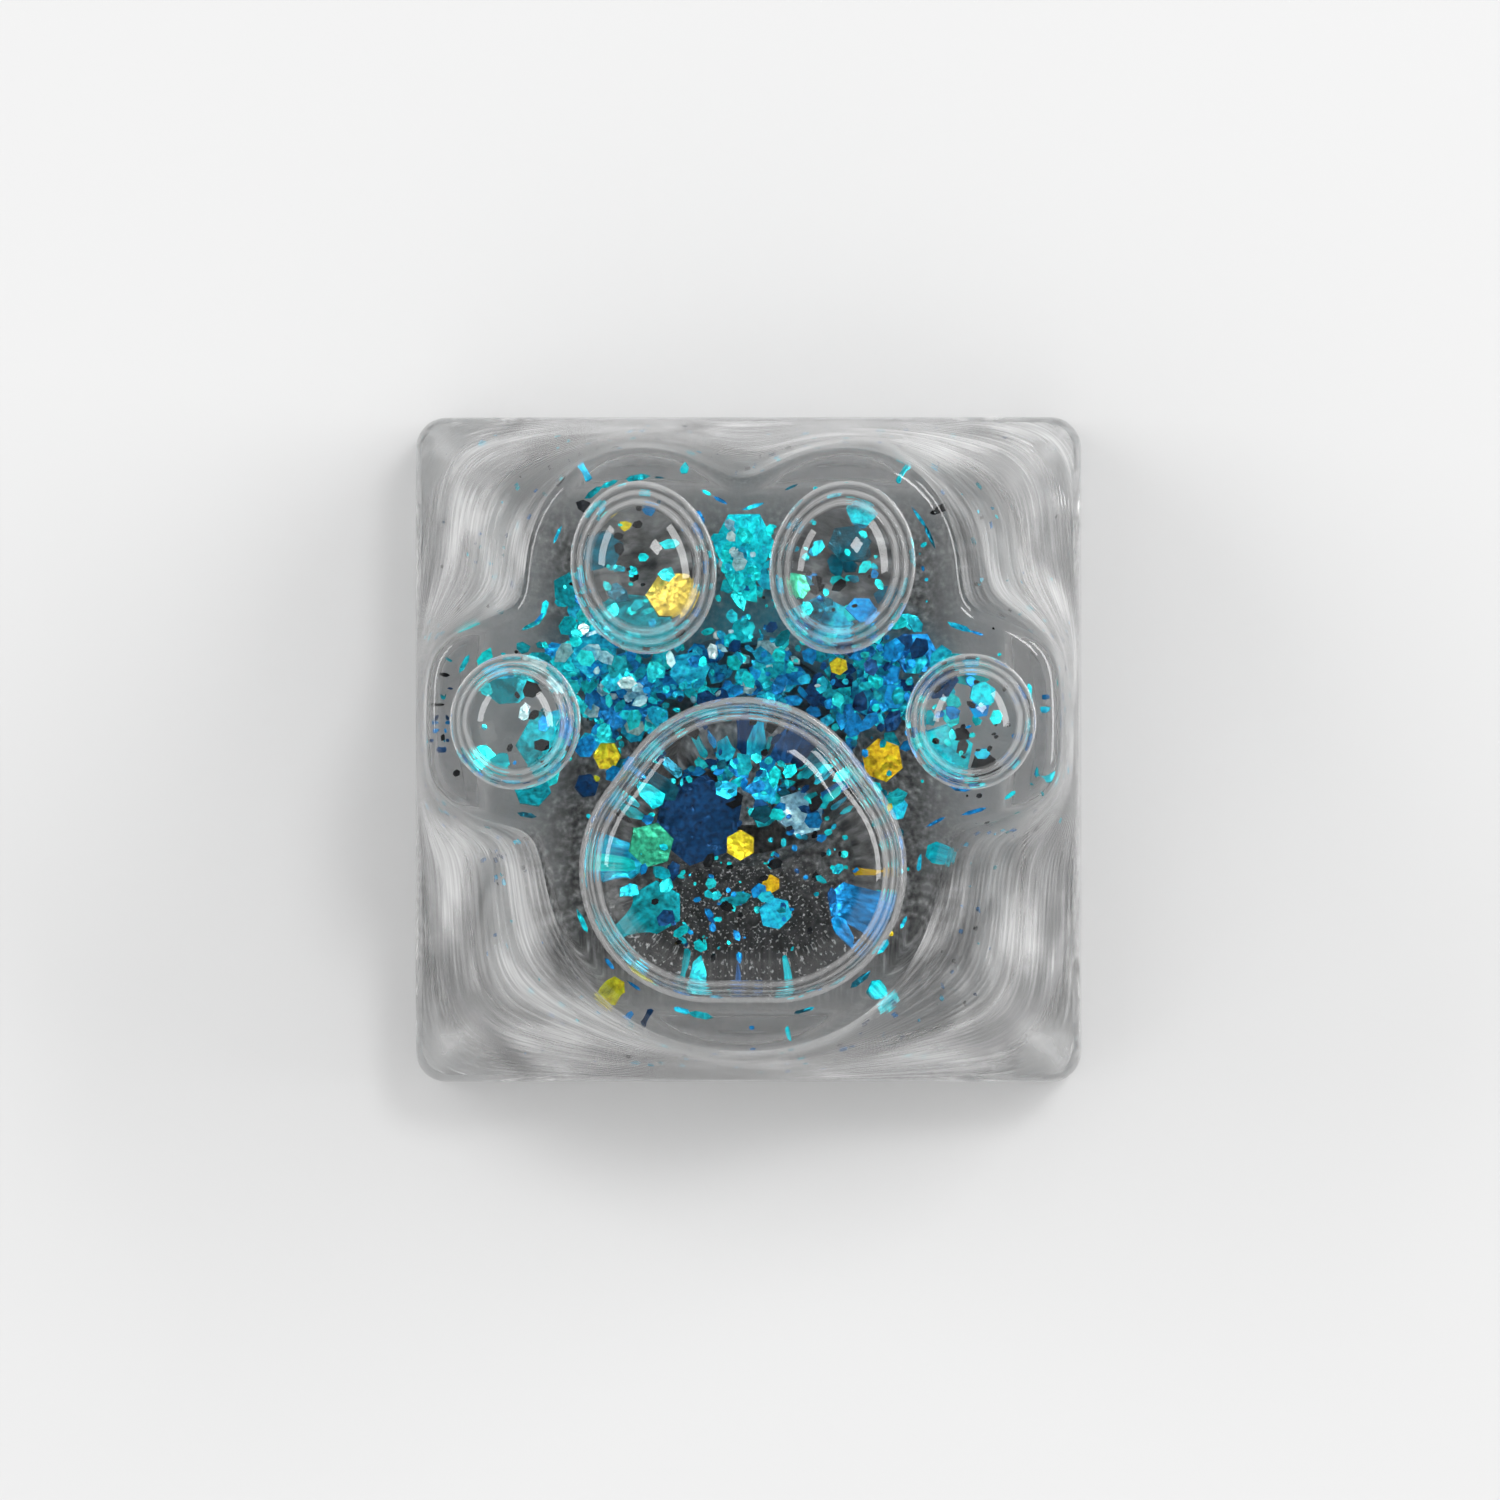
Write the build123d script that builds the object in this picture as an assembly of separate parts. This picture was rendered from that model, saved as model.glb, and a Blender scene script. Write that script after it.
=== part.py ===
from build123d import *
import os
from math import acos, atan, atan2, cos, degrees, exp, hypot, log, pi, radians, sin, sqrt, tan

# A one-unit keycap cast in clear resin and sculpted as a cat's paw, with coarse
# glitter set in the resin. Millimetres and degrees; the origin is at the middle
# of the rim, +Z up, +Y towards the back of the keyboard.

# Skirt: the drafted square that the paw is carved from.
cap_width = 18.0
cap_depth = 18.0
corner_radius = 0.85
skirt_draft = 1.5
rim_bevel = 0.2

# Sculpted top: a flat palm whose outline is a soft union of rounds, a rounded
# shoulder, and flanks that fall straight to the brow, the skirt's upper edge.
palm_height = 7.6
palm_inset = 1.1
palm_corner = 0.2
web_blend = 0.75
shoulder_round = 0.5
brow_height = 3.0
flank_squareness = 10
outline_points = 72
outline_spans = 12
outline_grain = 0.0001
shoulder_steps = 2

# Toe pads: places of the right-hand pair, half sizes, lean and rise. An ellipsoid
# whose widest section lies toe_sink below the palm makes each one. The side toes
# stand toe_land in from the palm's edge.
upper_toe_x = 2.62
upper_toe_y = 4.76
upper_toe_half_width = 1.8
upper_toe_half_length = 2.15
upper_toe_lean = 10.0
side_toe_y = 0.7
side_toe_half_width = 1.62
side_toe_half_length = 1.68
toe_rise = 1.2
toe_sink = 0.7
toe_margin = 0.75
toe_land = 0.28

# Main pad: the hull of one round at the front and two at the heel, crowned.
pad_front_y = -2.25
pad_front_radius = 3.4
pad_heel_x = 0.82
pad_heel_y = -3.2
pad_heel_radius = 3.3
pad_rise = 1.6
pad_crown_radius = 40.0
pad_edge_round = 1.1
pad_margin = 0.45
pad_root = 1.0

# Hollow under the cap.
mouth_width = 15.0
mouth_depth = 15.0
mouth_corner = 2.2
wall_lean = 0.5
hollow_height = 4.6
ceiling_bevel = 0.4

# Stem post and the cross socket in it.
stem_diameter = 5.6
stem_recess = 0.6
stem_root_bevel = 0.3
socket_span = 4.1
socket_arm_x = 1.35
socket_arm_y = 1.22
socket_depth = 3.9
socket_lead = 0.15

# Glitter: thin hexagons. Each row is x, y, level, width, tilt and heading, where level
# 0 is just over the hollow's ceiling and 1 just under the palm. Places and widths are
# in flake units.
flake_unit = 1.0
flake_thickness = 0.08
flake_cover = 0.3
blue_rows = [
    (-1.17, -1.91, 0.50, 2.4, 6, 20), (-3.30, 1.54, 0.30, 2.2, 14, 80),
    (-3.95, 2.45, 0.72, 1.3, 18, 200), (-1.44, 2.07, 0.60, 1.1, 15, 310),
    (4.55, 2.50, 0.50, 1.2, 20, 120), (3.45, 1.45, 0.25, 1.4, 12, 30),
    (3.95, -1.55, 0.60, 0.8, 25, 70), (2.69, -4.04, 0.72, 1.1, 10, 160),
    (0.55, -1.10, 0.95, 0.8, 22, 250), (2.75, -0.75, 0.35, 1.1, 16, 340),
    (0.82, -4.30, 0.65, 0.9, 24, 45), (-0.10, -5.75, 0.60, 0.7, 35, 100),
    (2.25, 3.65, 0.62, 1.2, 20, 270), (5.45, 1.45, 0.95, 0.7, 28, 60),
    (-4.15, -0.98, 0.70, 0.7, 30, 130), (-2.95, -2.95, 0.15, 1.0, 18, 220),
]
teal_rows = [
    (-2.23, -4.15, 0.70, 1.4, 12, 330), (-2.37, -2.55, 0.88, 1.2, 9, 75),
    (1.45, -1.75, 0.42, 1.3, 26, 140), (-3.45, 5.15, 0.85, 0.9, 20, 15),
    (-2.80, 3.65, 0.48, 1.5, 14, 290), (2.75, 5.25, 0.80, 0.8, 8, 190),
    (3.05, 6.05, 1.08, 0.7, 12, 50), (1.70, 4.35, 0.95, 0.6, 24, 110),
    (0.00, 5.40, 0.45, 1.8, 10, 240), (-5.45, 0.35, 0.72, 1.2, 16, 300),
    (6.25, 1.30, 1.18, 0.6, 15, 80), (5.60, 0.25, 0.62, 0.9, 20, 20),
    (-5.60, -1.05, 0.60, 1.0, 18, 170), (5.05, -2.75, 0.55, 0.6, 30, 260),
    (3.55, -6.40, 0.50, 0.7, 25, 65), (-4.55, 4.20, 0.50, 1.0, 28, 330),
]
gold_rows = [
    (-0.05, -2.55, 1.25, 0.8, 5, 90), (0.72, -3.55, 0.85, 0.5, 14, 30),
    (-2.45, -5.60, 0.60, 0.8, 24, 200), (-3.40, -6.30, 0.50, 0.6, 26, 150),
    (-3.62, -0.20, 0.55, 0.8, 18, 300), (3.67, -0.32, 0.66, 1.2, 15, 220),
    (2.50, 2.20, 0.70, 0.5, 20, 40), (-2.05, 4.15, 0.92, 1.1, 18, 120),
]


def soft_min(values, blend):
    # The least of the values, rounded off where two or more are nearly equal.
    return -blend * log(sum(exp(-value / blend) for value in values))


def toes():
    side_toe_x = cap_width / 2 - palm_inset - toe_land - side_toe_half_width
    for side in (-1, 1):
        yield (side * upper_toe_x, upper_toe_y, upper_toe_half_width,
               upper_toe_half_length, -side * upper_toe_lean)
        yield (side * side_toe_x, side_toe_y, side_toe_half_width, side_toe_half_length, 0.0)


def pad_rounds():
    return [(0.0, pad_front_y, pad_front_radius),
            (-pad_heel_x, pad_heel_y, pad_heel_radius),
            (pad_heel_x, pad_heel_y, pad_heel_radius)]


def square_reach(angle, half_width, half_depth):
    # From the middle to the side of a soft-cornered square.
    across = abs(cos(angle)) / half_width
    along = abs(sin(angle)) / half_depth
    return (across ** flank_squareness + along ** flank_squareness) ** (-1 / flank_squareness)


def beyond_palm(x, y):
    # How far a point lies outside the palm's outline: outside every lobe, or past
    # the square that keeps the palm clear of the skirt.
    lobes = [(cx, cy, radius + pad_margin) for cx, cy, radius in pad_rounds()]
    for cx, cy, half_width, half_length, _ in toes():
        lobes.append((cx, cy, (half_width + half_length) / 2 + toe_margin))
    past_lobes = soft_min([hypot(x - cx, y - cy) - radius for cx, cy, radius in lobes], web_blend)
    limit = square_reach(atan2(y, x), cap_width / 2 - palm_inset, cap_depth / 2 - palm_inset)
    return -soft_min([-past_lobes, limit - hypot(x, y)], palm_corner)


def palm_reach(angle):
    # From the middle out to the palm's outline: halve the gap between a point
    # outside it and the first point inside.
    step = shoulder_round
    reach = hypot(cap_width, cap_depth) / 2
    while beyond_palm(reach * cos(angle), reach * sin(angle)) > 0:
        reach -= step
    while step > outline_grain:
        step /= 2
        outside = beyond_palm((reach + step) * cos(angle), (reach + step) * sin(angle)) > 0
        reach += 0 if outside else step
    return reach


def flank_profile(angle):
    # Points (distance from the middle, height) from the palm down to the rim: steps
    # along the shoulder's arc, then the foot of the line that leaves it for the brow.
    start = palm_reach(angle)
    inset = brow_height * tan(radians(skirt_draft))
    run = square_reach(angle, cap_width / 2 - inset, cap_depth / 2 - inset) - start
    drop = palm_height - brow_height - shoulder_round
    turn = atan2(run, -drop) - acos(shoulder_round / hypot(run, drop))
    profile = []
    for step in range(shoulder_steps + 1):
        lean = turn * step / shoulder_steps
        profile.append((start + shoulder_round * sin(lean),
                        palm_height - shoulder_round * (1 - cos(lean))))
    reach, height = profile[-1]
    return profile + [(reach + height / tan(turn), 0.0)]


def ring_wire(points):
    # A closed smooth curve, in spans that share their tangents where they join.
    count = len(points)
    span = count // outline_spans
    tangents = [points[(i + 1) % count] - points[i - 1] for i in range(count)]
    edges = []
    for first in range(0, count, span):
        picks = [(first + i) % count for i in range(span + 1)]
        ends = [tangents[picks[0]], tangents[picks[-1]]]
        edges.append(Edge.make_spline([points[i] for i in picks], tangents=ends))
    return Wire(edges)


def carved_blank():
    angles = [2 * pi * i / outline_points + pi / outline_spans for i in range(outline_points)]
    profiles = [flank_profile(angle) for angle in angles]
    rings = []
    for level in zip(*profiles):
        rings.append(ring_wire([Vector(reach * cos(angle), reach * sin(angle), height)
                                for angle, (reach, height) in zip(angles, level)]))
    ends = [Face(rings[0]), Face(rings[-1])]
    bell = Solid(Shell(ends + Shell.make_loft(rings, ruled=True).faces()))
    outline = RectangleRounded(cap_width, cap_depth, corner_radius)
    blank = extrude(outline, amount=palm_height + pad_rise, taper=skirt_draft)
    blank = chamfer(blank.faces().sort_by(Axis.Z)[0].edges(), rim_bevel)
    return blank & bell


def toe_pad(x, y, half_width, half_length, lean):
    tall = toe_rise + toe_sink
    spread = 1 / sqrt(1 - (toe_sink / tall) ** 2)
    ball = Rot(90, 0, 0) * Sphere(1)
    dome = scale(ball, by=(half_width * spread, half_length * spread, tall))
    return Pos(x, y, palm_height - toe_sink) * Rot(0, 0, lean) * dome


def main_pad():
    circles = [Edge.make_circle(radius, Plane((x, y, 0))) for x, y, radius in pad_rounds()]
    outline = make_hull(circles)
    middle_y = (pad_front_y + pad_heel_y) / 2
    top = palm_height + pad_rise
    block = extrude(Pos(0, 0, palm_height - pad_root) * outline, amount=pad_root + 2 * pad_rise)
    crown = Pos(0, middle_y, top - pad_crown_radius) * Sphere(pad_crown_radius)
    pad = block & crown
    return fillet(pad.faces().sort_by(Axis.Z)[-1].edges(), pad_edge_round)


def hollow():
    outline = RectangleRounded(mouth_width, mouth_depth, mouth_corner)
    lean = degrees(atan(wall_lean / hollow_height))
    space = extrude(outline, amount=hollow_height, taper=lean)
    return chamfer(space.faces().sort_by(Axis.Z)[-1].edges(), ceiling_bevel)


def stem():
    height = hollow_height - stem_recess
    post = Pos(0, 0, stem_recess) * extrude(Circle(stem_diameter / 2), amount=height)
    cross = Rectangle(socket_span, socket_arm_x) + Rectangle(socket_arm_y, socket_span)
    slot = extrude(cross, amount=socket_depth)
    post -= Pos(0, 0, stem_recess) * slot
    mouth = post.faces().sort_by(Axis.Z)[0].inner_wires()[0].edges()
    return chamfer(mouth, socket_lead)


def hexagons(rows):
    low = hollow_height + flake_cover
    high = palm_height - flake_cover
    flakes = []
    for x, y, level, width, tilt, heading in rows:
        outline = RegularPolygon(width * flake_unit / 2, 6)
        flake = extrude(outline, amount=flake_thickness / 2, both=True)
        place = Pos(x * flake_unit, y * flake_unit, low + level * (high - low))
        flakes.append(place * Rot(0, 0, heading) * Rot(tilt, 0, 0) * flake)
    return flakes


def stem_root(cap):
    rounds = cap.edges().filter_by(GeomType.CIRCLE).filter_by(lambda edge: edge.is_closed)
    return rounds.sort_by(Axis.Z)[-1]


def keycap():
    pads = [toe_pad(*toe) for toe in toes()] + [main_pad()]
    cap = carved_blank() + pads - hollow() + stem()
    return chamfer(stem_root(cap), stem_root_bevel)


def main():
    glitter = {"blue_flakes": hexagons(blue_rows),
               "teal_flakes": hexagons(teal_rows),
               "gold_flakes": hexagons(gold_rows)}
    cap = keycap()
    for flakes in glitter.values():
        cap -= flakes
    os.makedirs("parts", exist_ok=True)
    export_step(cap, "parts/keycap.step")
    for name, flakes in glitter.items():
        export_step(Compound(flakes), f"parts/{name}.step")


if __name__ == "__main__":
    main()
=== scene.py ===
import bpy
import math
import random
import numpy as np
from mathutils import Matrix, Vector


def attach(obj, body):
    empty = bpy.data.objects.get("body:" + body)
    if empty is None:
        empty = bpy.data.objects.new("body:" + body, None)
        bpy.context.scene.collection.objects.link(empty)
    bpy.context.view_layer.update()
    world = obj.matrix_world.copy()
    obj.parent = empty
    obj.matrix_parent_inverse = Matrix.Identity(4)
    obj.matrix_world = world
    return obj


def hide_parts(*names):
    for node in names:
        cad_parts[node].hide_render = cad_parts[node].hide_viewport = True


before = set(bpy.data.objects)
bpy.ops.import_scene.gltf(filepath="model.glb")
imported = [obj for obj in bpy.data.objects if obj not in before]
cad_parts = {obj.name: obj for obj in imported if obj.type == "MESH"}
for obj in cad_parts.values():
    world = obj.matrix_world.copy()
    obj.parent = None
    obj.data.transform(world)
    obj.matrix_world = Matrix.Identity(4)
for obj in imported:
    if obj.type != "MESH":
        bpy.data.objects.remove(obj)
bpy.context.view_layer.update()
print("frame loaded:", sorted(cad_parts))

mm = 0.001                     # meshes are shaped in millimetres and scaled once at the end
mergeGap = 0.0005              # corners closer than this are one, in the same unit

# the casting: skirt, flanks, palm and the hollow under them
capForm = {
    "half": 9.0, "corner": 0.85, "draft": 1.5, "rimBevel": 0.2,
    "palmHeight": 7.6, "palmInset": 1.1, "palmCorner": 0.2, "webBlend": 0.75,
    "shoulder": 0.5, "brow": 3.0, "browRound": 0.35, "squareness": 10,
    "mouthHalf": 7.5, "mouthCorner": 2.2, "wallLean": 0.5, "ceiling": 4.6, "ceilingBevel": 0.4,
    "stemRadius": 2.8, "stemEnd": 0.6, "stemBevel": 0.3,
    "socketHalf": 2.05, "armX": 0.675, "armY": 0.61, "socketTop": 4.5, "socketLead": 0.15,
    "sectors": 480, "cornerCrowd": 4.0, "crowdAngle": 5.0, "crowdSteps": 20000, "smoothAngle": 35.0,
    "shoulderRings": 10, "flankRings": 24, "browRings": 8, "skirtRings": 6, "leanHeight": 5.0,
    "wallRings": 8, "bevelRings": 5, "ceilingRings": 8, "postRings": 6, "socketRings": 4,
}
# search for the palm's outline, from outside it
outlineSearch = {"from": 13.0, "step": 0.25, "steps": 60, "halvings": 14, "turns": 1440}
# four toe pads, the upper pair and then the side pair: x, y, half width, half length, lean
toeForm = {
    "pads": [(2.62, 4.76, 1.8, 2.15, -10.0), (-2.62, 4.76, 1.8, 2.15, 10.0),
             (6.0, 0.7, 1.62, 1.68, 0.0), (-6.0, 0.7, 1.62, 1.68, 0.0)],
    "rise": 1.2, "sink": 0.7, "margin": 0.75, "rootBlend": 0.45,
    "sectors": 160, "rings": 40, "bandRings": 19,
}
# the main pad: rounds under its outline as x, y, radius
padForm = {
    "rounds": [(0.0, -2.25, 3.4), (-0.82, -3.2, 3.3), (0.82, -3.2, 3.3)],
    "rise": 1.6, "crown": 40.0, "edge": 1.1, "root": 0.2, "margin": 0.45, "middleY": -2.725,
    "sectors": 220, "facings": 1440, "leastAhead": 1e-3,
    "rootRings": 8, "edgeRings": 20, "topRings": 18, "bandRings": 19,
}


def softMin(values, blend):
    return -blend * np.log(sum(np.exp(-v / blend) for v in values))


def smoothMax(a, b, blend):
    near = np.maximum(blend - abs(a - b), 0) / blend
    return np.maximum(a, b) + near ** 2 * blend / 4


def squareReach(angles, half):
    n = capForm["squareness"]
    return (abs(np.cos(angles) / half) ** n + abs(np.sin(angles) / half) ** n) ** (-1 / n)


def roundedReach(angles, half, corner):
    across, along = abs(np.cos(angles)), abs(np.sin(angles))
    flat = half / np.maximum(across, along)
    inset = half - corner
    toward = inset * (across + along)
    bent = toward + np.sqrt(np.maximum(toward ** 2 - 2 * inset ** 2 + corner ** 2, 0))
    return np.where(flat * np.minimum(across, along) <= inset, flat, bent)


def beyondPalm(x, y):
    lobes = [(cx, cy, r + padForm["margin"]) for cx, cy, r in padForm["rounds"]]
    lobes += [(cx, cy, (hw + hl) / 2 + toeForm["margin"]) for cx, cy, hw, hl, _ in toeForm["pads"]]
    pastLobes = softMin([np.hypot(x - cx, y - cy) - r for cx, cy, r in lobes], capForm["webBlend"])
    limit = squareReach(np.arctan2(y, x), capForm["half"] - capForm["palmInset"])
    return -softMin([-pastLobes, limit - np.hypot(x, y)], capForm["palmCorner"])


def palmReach(angles):
    # step in from outside to the first point on the palm, then halve
    reach = np.full_like(angles, outlineSearch["from"])
    step = outlineSearch["step"]
    for _ in range(outlineSearch["steps"]):
        outside = beyondPalm(reach * np.cos(angles), reach * np.sin(angles)) > 0
        reach = np.where(outside, reach - step, reach)
    for _ in range(outlineSearch["halvings"]):
        step /= 2
        further = reach + step
        outside = beyondPalm(further * np.cos(angles), further * np.sin(angles)) > 0
        reach = np.where(outside, reach, further)
    return reach


def sectorAngles(count):
    # closer together at the four corners
    fine = np.linspace(0, 2 * np.pi, capForm["crowdSteps"] + 1)
    off = abs(fine % (np.pi / 2) - np.pi / 4)
    density = 1 + capForm["cornerCrowd"] * np.exp(-(off / math.radians(capForm["crowdAngle"])) ** 2)
    total = np.concatenate([[0], np.cumsum((density[1:] + density[:-1]) / 2)])
    return np.interp(np.linspace(0, total[-1], count, endpoint=False), total, fine)


def skirtReach(angles, z):
    inset = z * math.tan(math.radians(capForm["draft"]))
    return roundedReach(angles, capForm["half"] - inset, capForm["corner"] - inset)


def hollowReach(angles, z, inset=0.0):
    inset += capForm["wallLean"] * z / capForm["ceiling"]
    return roundedReach(angles, capForm["mouthHalf"] - inset, capForm["mouthCorner"] - inset)


def crossReach(angles, lead=0.0):
    c, s = abs(np.cos(angles)) + 1e-9, abs(np.sin(angles)) + 1e-9
    far = capForm["socketHalf"] + lead
    alongX = np.minimum(far / c, (capForm["armX"] + lead) / s)
    alongY = np.minimum((capForm["armY"] + lead) / c, far / s)
    return np.maximum(alongX, alongY)


def polarRing(angles, reach, z):
    x, y = reach * np.cos(angles), reach * np.sin(angles)
    return np.stack([x, y, np.broadcast_to(z, angles.shape)], axis=1)


def flankLine(angles):
    # end of the shoulder arc, the brow under it, and how far the arc turns
    start = palmReach(angles)
    r, top = capForm["shoulder"], capForm["palmHeight"]
    browInset = capForm["brow"] * math.tan(math.radians(capForm["draft"]))
    run = squareReach(angles, capForm["half"] - browInset) - start
    drop = top - capForm["brow"] - r
    turn = np.arctan2(run, -drop) - np.arccos(r / np.hypot(run, drop))
    endReach, endZ = start + r * np.sin(turn), top - r * (1 - np.cos(turn))
    slope = 1 / np.tan(turn)
    base = skirtReach(angles, 0.0)
    lean = (base - skirtReach(angles, capForm["leanHeight"])) / capForm["leanHeight"]
    browZ = (base - endReach - endZ * slope) / (lean - slope)
    return start, turn, endReach, endZ, base - lean * browZ, browZ


def outerRings(angles):
    start, turn, endReach, endZ, browReach, browZ = flankLine(angles)
    r, top = capForm["shoulder"], capForm["palmHeight"]
    rings = []
    for t in np.linspace(0, 1, capForm["shoulderRings"] + 1):
        rings.append(polarRing(angles, start + r * np.sin(turn * t), top - r * (1 - np.cos(turn * t))))
    length = np.hypot(browReach - endReach, endZ - browZ)
    back = capForm["browRound"] / length
    nearReach, nearZ = browReach + (endReach - browReach) * back, browZ + (endZ - browZ) * back
    lowZ = browZ - capForm["browRound"]
    lowReach = skirtReach(angles, lowZ)
    for t in np.linspace(0, 1, capForm["flankRings"] + 1)[1:]:
        rings.append(polarRing(angles, endReach + (nearReach - endReach) * t, endZ + (nearZ - endZ) * t))
    for t in np.linspace(0, 1, capForm["browRings"] + 1)[1:]:
        a, b, c = (1 - t) ** 2, 2 * t * (1 - t), t ** 2
        reach = a * nearReach + b * browReach + c * lowReach
        rings.append(polarRing(angles, reach, a * nearZ + b * browZ + c * lowZ))
    bevel = capForm["rimBevel"]
    for t in np.linspace(0, 1, capForm["skirtRings"] + 1)[1:]:
        z = lowZ + (bevel - lowZ) * t
        rings.append(polarRing(angles, skirtReach(angles, z), z))
    rim = roundedReach(angles, capForm["half"] - bevel, capForm["corner"] - bevel)
    rings.append(polarRing(angles, rim, 0.0))
    rings.append(polarRing(angles, hollowReach(angles, 0.0), 0.0))
    return rings


def underRings(angles):
    ceiling, bevel = capForm["ceiling"], capForm["ceilingBevel"]
    rings = []
    for z in np.linspace(0, ceiling - bevel, capForm["wallRings"]):
        rings.append(polarRing(angles, hollowReach(angles, z), z))
    for turn in np.linspace(0, np.pi / 2, capForm["bevelRings"] + 1)[1:]:
        z = ceiling - bevel + bevel * math.sin(turn)
        rings.append(polarRing(angles, hollowReach(angles, z, bevel * (1 - math.cos(turn))), z))
    outside = hollowReach(angles, ceiling, bevel)
    root = capForm["stemRadius"] + capForm["stemBevel"]
    for t in np.linspace(0, 1, capForm["ceilingRings"] + 1)[1:]:
        rings.append(polarRing(angles, outside + (root - outside) * t, ceiling))
    for z in np.linspace(ceiling - capForm["stemBevel"], capForm["stemEnd"], capForm["postRings"]):
        rings.append(polarRing(angles, np.full_like(angles, capForm["stemRadius"]), z))
    lead = capForm["socketLead"]
    rings.append(polarRing(angles, crossReach(angles, lead), capForm["stemEnd"]))
    for z in np.linspace(capForm["stemEnd"] + lead, capForm["socketTop"], capForm["socketRings"]):
        rings.append(polarRing(angles, crossReach(angles), z))
    rings.append(polarRing(angles, np.zeros_like(angles), capForm["socketTop"]))
    return rings


def toeRings(x, y, halfWidth, halfLength, lean):
    tall = toeForm["rise"] + toeForm["sink"]
    spread = 1 / math.sqrt(1 - (toeForm["sink"] / tall) ** 2)
    palm, blend = capForm["palmHeight"], toeForm["rootBlend"]
    around = np.linspace(0, 2 * np.pi, toeForm["sectors"], endpoint=False)
    lowest = math.acos((toeForm["sink"] - blend) / tall)
    c, s = math.cos(math.radians(lean)), math.sin(math.radians(lean))
    rings = []
    for polar in np.linspace(lowest, 0, toeForm["rings"]):
        u = halfWidth * spread * math.sin(polar) * np.cos(around)
        v = halfLength * spread * math.sin(polar) * np.sin(around)
        z = smoothMax(palm - toeForm["sink"] + tall * math.cos(polar), palm, blend)
        rings.append(np.stack([x + u * c - v * s, y + u * s + v * c, np.full_like(u, z)], axis=1))
    return rings


def padReach(around, inset):
    # the hull of the rounds as half planes, each moved in by the inset
    facing = np.linspace(0, 2 * np.pi, padForm["facings"], endpoint=False)
    nx, ny = np.cos(facing), np.sin(facing)
    support = np.max([cx * nx + cy * ny + r for cx, cy, r in padForm["rounds"]], axis=0)
    support = support - inset - padForm["middleY"] * ny
    ahead = np.cos(around)[:, None] * nx + np.sin(around)[:, None] * ny
    least = padForm["leastAhead"]
    return np.min(np.where(ahead > least, support / np.maximum(ahead, least), np.inf), axis=1)


def padRings():
    around = np.linspace(0, 2 * np.pi, padForm["sectors"], endpoint=False)
    palm, root, edge = capForm["palmHeight"], padForm["root"], padForm["edge"]

    def ring(reach, zOf):
        x, y = reach * np.cos(around), padForm["middleY"] + reach * np.sin(around)
        sag = padForm["crown"] - np.sqrt(padForm["crown"] ** 2 - reach ** 2)
        z = zOf(palm + padForm["rise"] - sag)
        return np.stack([x, y, np.broadcast_to(z, x.shape)], axis=1)

    rings = []
    for turn in np.linspace(0, np.pi / 2, padForm["rootRings"]):
        lift = palm + root * (1 - math.cos(turn))
        rings.append(ring(padReach(around, -root * (1 - math.sin(turn))), lambda crown: lift + 0 * crown))
    for turn in np.linspace(0, np.pi / 2, padForm["edgeRings"]):
        drop = edge * (1 - math.sin(turn))
        rings.append(ring(padReach(around, edge * (1 - math.cos(turn))), lambda crown: crown - drop))
    flatReach = padReach(around, edge)
    for t in np.linspace(1, 0, padForm["topRings"])[1:]:
        rings.append(ring(flatReach * t, lambda crown: crown))
    return rings


def wrapSheet(name, rings, material):
    # a grid whose rows become the rings, closed at the seam and at a pole
    bpy.ops.object.select_all(action="DESELECT")
    across, along = len(rings[0]), len(rings) - 1
    bpy.ops.mesh.primitive_grid_add(x_subdivisions=across, y_subdivisions=along, size=1)
    sheet = bpy.context.object
    sheet.name = name
    places = np.stack([np.concatenate([ring, ring[:1]]) for ring in rings])
    sheet.data.vertices.foreach_set("co", places.ravel().astype(np.float32))
    sheet.data.materials.append(material)
    bpy.ops.object.mode_set(mode="EDIT")
    bpy.ops.mesh.select_all(action="SELECT")
    bpy.ops.mesh.remove_doubles(threshold=mergeGap)
    bpy.ops.object.mode_set(mode="OBJECT")
    return sheet


def shrinkToMetres(piece):
    bpy.ops.object.select_all(action="DESELECT")
    piece.select_set(True)
    bpy.context.view_layer.objects.active = piece
    piece.scale = (mm, mm, mm)
    bpy.ops.object.transform_apply(location=True, rotation=True, scale=True)


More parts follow.
